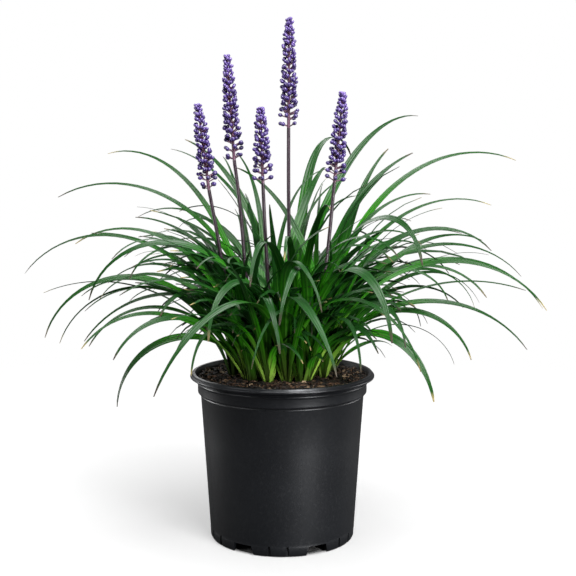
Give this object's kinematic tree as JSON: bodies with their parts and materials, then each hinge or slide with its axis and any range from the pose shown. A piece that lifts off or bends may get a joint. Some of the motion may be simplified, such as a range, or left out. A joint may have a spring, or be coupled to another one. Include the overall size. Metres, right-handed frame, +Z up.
{
  "type": "potted liriope plant",
  "caption": "Clump of arching strap leaves with upright violet flower spikes, growing in a round black nursery pot filled with bark mix.",
  "frame": {"origin": "centre of the pot's flat underside, on the surface it stands on", "axes": "+Z up along the pot's axis, -Y to the front, +X to the right seen from the front"},
  "size_m": [0.4763, 0.4371, 0.4615],
  "materials": {
    "pot_plastic": "satin",
    "bark_mix": "matte",
    "leaf": "satin",
    "flower_stem": "satin",
    "flower_bud": "satin"
  },
  "bodies": {
    "root": {"pot": "pot_plastic", "soil": "bark_mix", "tuft_1": "leaf", "tuft_2": "leaf", "tuft_3": "leaf", "tuft_4": "leaf", "tuft_5": "leaf", "tuft_6": "leaf", "tuft_7": "leaf", "tuft_8": "leaf", "tuft_9": "leaf", "tuft_10": "leaf", "tuft_11": "leaf", "tuft_12": "leaf", "tuft_13": "leaf", "tuft_14": "leaf", "tuft_15": "leaf", "scape_1": "flower_stem", "scape_2": "flower_stem", "scape_3": "flower_stem", "scape_4": "flower_stem", "scape_5": "flower_stem", "raceme_1": "flower_bud", "raceme_2": "flower_bud", "raceme_3": "flower_bud", "raceme_4": "flower_bud", "raceme_5": "flower_bud"}
  },
  "joints": []
}
